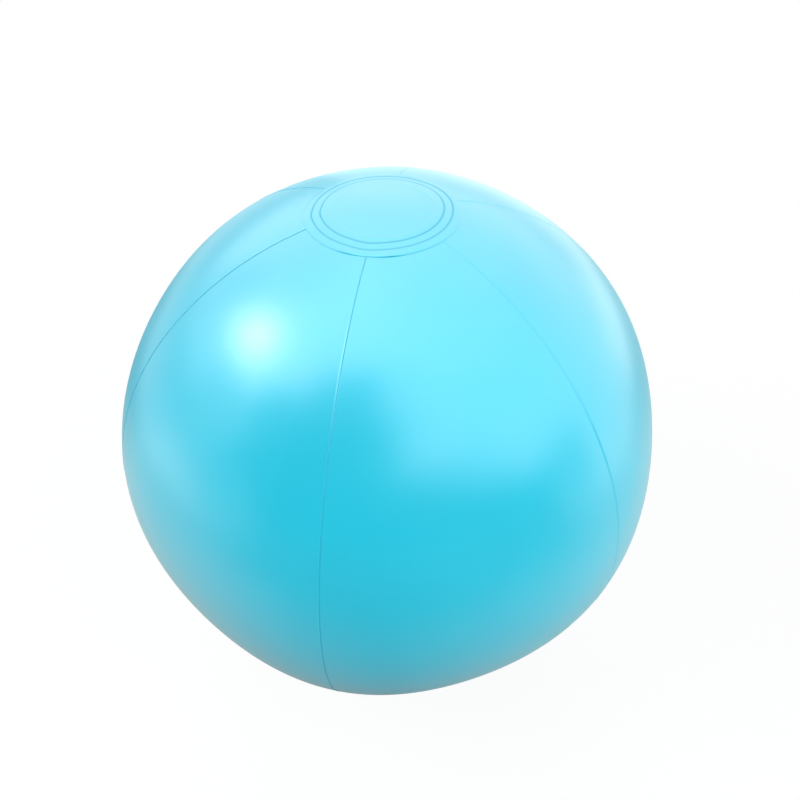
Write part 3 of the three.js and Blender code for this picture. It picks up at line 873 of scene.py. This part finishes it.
def lamp(name, shape, place, towards, size, brightness, gloss=True, colour=True):
    """An area lamp of the given radiance, turned towards a point, at a place in the camera's own frame.

    Places are right, forward and up of the ball's middle as the camera stands. gloss and colour say
    whether it shows in reflections and whether it lights the colour. Rays that meet a lamp by chance mix
    the two a little, so only the rectangular boxes are open to them, whose reflections need them.
    """
    turn = Matrix.Rotation(CAMERA_AZIMUTH, 4, "Z")
    middle = Matrix.Translation((0, 0, CENTRE_Z))
    data = bpy.data.lights.new(name, "AREA")
    data.shape = shape
    data.size, data.size_y = size
    area = size[0] * size[1] * (math.pi / 4 if shape == "ELLIPSE" else 1)
    data.energy = brightness * math.pi * area
    data.cycles.use_multiple_importance_sampling = gloss and shape == "RECTANGLE"
    light = bpy.data.objects.new(name, data)
    light.visible_camera = False
    light.visible_glossy = gloss
    light.visible_diffuse = colour
    aim = (Vector(towards) - Vector(place)).to_track_quat("-Z", "Y").to_matrix().to_4x4()
    light.matrix_world = middle @ turn @ Matrix.Translation(place) @ aim
    bpy.context.scene.collection.objects.link(light)


def gloss_box(name, low, high, brightness):
    """A flat soft box, seen only in the gloss, that fills the rectangle between two corners."""
    middle = np.mean([low, high], axis=0)
    span = np.subtract(high, low)
    flat = int(np.argmin(span))
    towards = middle.copy()
    towards[flat] = 0
    lamp(name, "RECTANGLE", middle, towards, np.delete(span, flat), brightness, colour=False)


def make_lights():
    """The room of soft boxes and a round key lamp for the gloss, and the ring of lamps for the colour."""
    for name, (low, high, brightness) in SOFT_BOXES.items():
        gloss_box(name, low, high, brightness)
    lamp("key", "ELLIPSE", KEY_PLACE, (0, 0, 0), KEY_SIZE, KEY_BRIGHTNESS, colour=False)
    for name, (azimuth, elevation, brightness) in COLOUR_LAMPS.items():
        place = COLOUR_LAMP_DISTANCE * direction(math.radians(azimuth), math.radians(elevation))
        lamp(name, "ELLIPSE", place, (0, 0, 0), COLOUR_LAMP_SIZE, brightness, gloss=False)


def make_world():
    """Even white light for the colour, and white for the camera; the gloss sees the soft boxes instead."""
    world = bpy.data.worlds.new("studio")
    bpy.context.scene.world = world
    world.use_nodes = True
    world.cycles_visibility.glossy = False
    tree = world.node_tree
    tree.nodes.clear()
    path = add_node(tree, "ShaderNodeLightPath")
    seen = add_node(
        tree, "ShaderNodeMath", {"operation": "MAXIMUM"},
        **{"0": path.outputs["Is Camera Ray"], "1": path.outputs["Is Transmission Ray"]})
    level = add_node(
        tree, "ShaderNodeMapRange", {"To Min": EVEN_LIGHT, "To Max": 1.0}, Value=seen.outputs["Value"])
    background = add_node(
        tree, "ShaderNodeBackground", {"Color": linear("#FFFFFF")}, Strength=level.outputs["Result"])
    add_node(tree, "ShaderNodeOutputWorld", Surface=background.outputs["Background"])


def make_floor():
    """A wide floor that keeps the ball's shadow.

    It is white for the camera, wholly so away from the ball, and dark for the light that it throws back
    up. In reflections and behind clear things it shines by itself, though it is no lamp: a painted glow
    that paints the reflections on the ball, brighter beside the ball than before and behind it, and
    behind it brighter on the right than on the left.
    """
    points = FLOOR_REACH * np.array([[-1, -1, 0], [1, -1, 0], [1, 1, 0], [-1, 1, 0]])
    material, tree = new_material("matt_white_floor_painted_glow")
    path = add_node(tree, "ShaderNodeLightPath")
    mirrored = add_node(
        tree, "ShaderNodeMath", {"operation": "MAXIMUM"},
        **{"0": path.outputs["Is Glossy Ray"], "1": path.outputs["Is Transmission Ray"]})
    spot = add_node(tree, "ShaderNodeTexCoord").outputs["Object"]
    place = add_node(tree, "ShaderNodeMapping", {"Rotation": (0, 0, -CAMERA_AZIMUTH)}, Vector=spot)
    place = add_node(tree, "ShaderNodeSeparateXYZ", Vector=place.outputs["Vector"])
    far_side = add_node(
        tree, "ShaderNodeMapRange",
        {"From Min": -SHINE_ASIDE, "From Max": SHINE_ASIDE, "To Min": SHINE_FAR[0], "To Max": SHINE_FAR[1]},
        Value=place.outputs["X"])
    behind = add_node(
        tree, "ShaderNodeMapRange",
        {"From Min": SHINE_BEHIND[0], "From Max": SHINE_BEHIND[1], "To Min": 1.0},
        Value=place.outputs["Y"], To_Max=far_side.outputs["Result"])
    before = add_node(
        tree, "ShaderNodeMapRange", {"From Min": SHINE_BEFORE[0], "From Max": SHINE_BEFORE[1]},
        Value=place.outputs["Y"])
    beside = add_node(
        tree, "ShaderNodeMath", {"operation": "MULTIPLY"},
        **{"0": before.outputs["Result"], "1": behind.outputs["Result"]})
    aside = add_node(tree, "ShaderNodeMath", {"operation": "ABSOLUTE"}, **{"0": place.outputs["X"]})
    aside = add_node(
        tree, "ShaderNodeMapRange", {"From Max": SHINE_ASIDE, "To Min": SHINE_IN_LINE},
        Value=aside.outputs["Value"])
    sides = add_node(
        tree, "ShaderNodeMath", {"operation": "MULTIPLY"},
        **{"0": aside.outputs["Result"], "1": beside.outputs["Value"]})
    # Painted glow seen in reflections: dark before and behind the ball, bright beside it
    painted_glow = add_node(tree, "ShaderNodeValToRGB", Fac=sides.outputs["Value"])
    painted_glow.color_ramp.elements[0].color = linear("#8C7E72")
    painted_glow.color_ramp.elements[1].color = linear("#FFEBD8")
    painted_shine = add_node(tree, "ShaderNodeEmission", {"Strength": PAINTED_SHINE}, Color=painted_glow.outputs["Color"])
    bounce = add_node(
        tree, "ShaderNodeMix", {"data_type": "RGBA", "6": linear("#282826"), "7": linear("#FFFFFF")},
        **{"0": path.outputs["Is Camera Ray"]})
    matt = add_node(tree, "ShaderNodeBsdfDiffuse", Color=bounce.outputs[2])
    white = add_node(tree, "ShaderNodeEmission", {"Color": linear("#FFFFFF"), "Strength": 1.0})
    away = add_node(tree, "ShaderNodeVectorMath", {"operation": "LENGTH"}, **{"0": spot})
    whiten = add_node(
        tree, "ShaderNodeMapRange",
        {"From Min": WHITENING[0], "From Max": WHITENING[1], "To Min": FLOOR_WHITE, "To Max": 1.0},
        Value=away.outputs["Value"])
    share = add_node(
        tree, "ShaderNodeMath", {"operation": "MULTIPLY"},
        **{"0": path.outputs["Is Camera Ray"], "1": whiten.outputs["Result"]})
    seen = add_node(
        tree, "ShaderNodeMixShader",
        **{"Fac": share.outputs["Value"], "1": matt.outputs["BSDF"], "2": white.outputs["Emission"]})
    surface = add_node(
        tree, "ShaderNodeMixShader",
        **{"Fac": mirrored.outputs["Value"], "1": seen.outputs["Shader"], "2": painted_shine.outputs["Emission"]})
    add_node(tree, "ShaderNodeOutputMaterial", Surface=surface.outputs["Shader"])
    floor = new_piece("floor", points, np.array([[0, 1, 2, 3]]), material)


make_lights()
make_world()
make_floor()
bpy.context.scene.view_settings.view_transform = "Standard"
